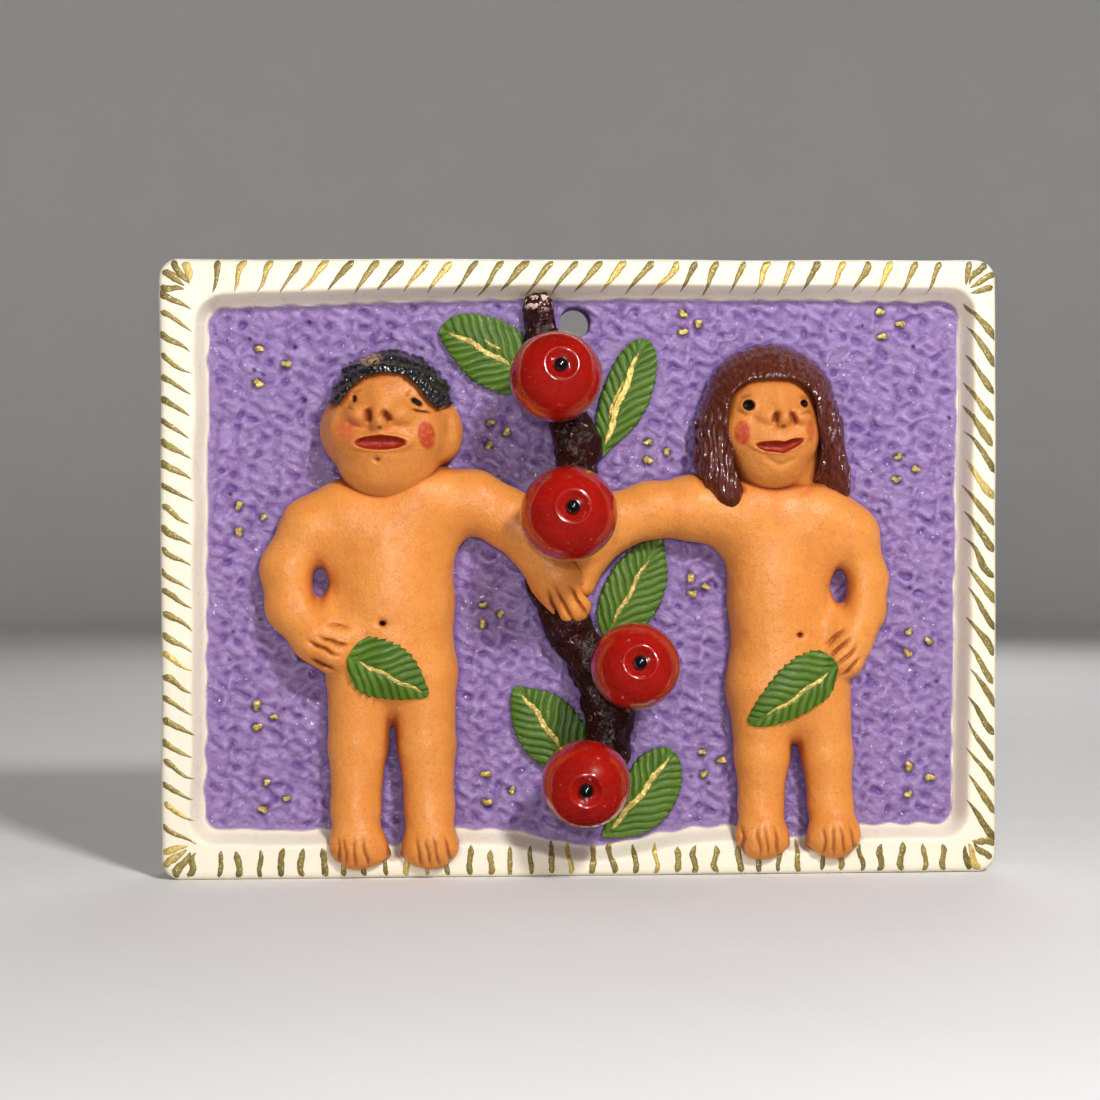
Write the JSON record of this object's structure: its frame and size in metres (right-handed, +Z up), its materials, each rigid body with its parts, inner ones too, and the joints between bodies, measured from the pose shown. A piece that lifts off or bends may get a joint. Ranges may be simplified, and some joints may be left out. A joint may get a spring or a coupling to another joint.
{
  "type": "clay relief plaque",
  "caption": "Rectangular clay relief plaque with a raised border, two figures reaching across a tree, leaves, and apples that turn on pins; hangs by a hole or stands on its edge.",
  "frame": {"origin": "centre of the flat bottom edge", "axes": "+X to the right seen from the front, -Y the way the front faces, +Z up"},
  "size_m": [0.19, 0.0432, 0.14],
  "materials": {
    "violet_ground": "satin paint on clay",
    "cream_border": "matte paint on clay",
    "bark": "gloss paint on clay",
    "leaf_green": "satin paint on clay",
    "apple_red": "gloss",
    "pin_black": "gloss",
    "skin": "satin paint on clay",
    "hair_black": "gloss paint on clay",
    "hair_brown": "gloss paint on clay",
    "gold_paint": "metallic gold paint"
  },
  "bodies": {
    "plaque": {"base_slab": "violet_ground", "raised_border": "cream_border", "tree_trunk": "bark", "leaf_top_left": "leaf_green", "leaf_top_right": "leaf_green", "leaf_middle_right": "leaf_green", "leaf_low_left": "leaf_green", "leaf_low_right": "leaf_green", "apple_pin_1": "pin_black", "apple_pin_2": "pin_black", "apple_pin_3": "pin_black", "apple_pin_4": "pin_black", "adam_torso": "skin", "adam_arm_on_hip": "skin", "adam_arm_reaching": "skin", "adam_head": "skin", "adam_hair": "hair_black", "adam_fig_leaf": "leaf_green", "eve_torso": "skin", "eve_arm_on_hip": "skin", "eve_arm_reaching": "skin", "eve_head": "skin", "eve_hair": "hair_brown", "eve_fig_leaf": "leaf_green"},
    "apple_1": {"apple_1": "apple_red"},
    "apple_2": {"apple_2": "apple_red"},
    "apple_3": {"apple_3": "apple_red"},
    "apple_4": {"apple_4": "apple_red"}
  },
  "joints": [
    {"name": "apple_1_spin", "type": "hinge", "parent": "plaque", "child": "apple_1", "pos_m": [-0.0062, -0.0195, 0.1125], "axis": [0.0846, -0.9666, 0.2419], "continuous": true},
    {"name": "apple_2_spin", "type": "hinge", "parent": "plaque", "child": "apple_2", "pos_m": [-0.0037, -0.02451, 0.0823], "axis": [0.0517, -0.9863, 0.1564], "continuous": true},
    {"name": "apple_3_spin", "type": "hinge", "parent": "plaque", "child": "apple_3", "pos_m": [0.0112, -0.01944, 0.0485], "axis": [0.0517, -0.9863, 0.1564], "continuous": true},
    {"name": "apple_4_spin", "type": "hinge", "parent": "plaque", "child": "apple_4", "pos_m": [0.0002, -0.01944, 0.0225], "axis": [-0.0522, -0.9962, -0.0698], "continuous": true}
  ]
}
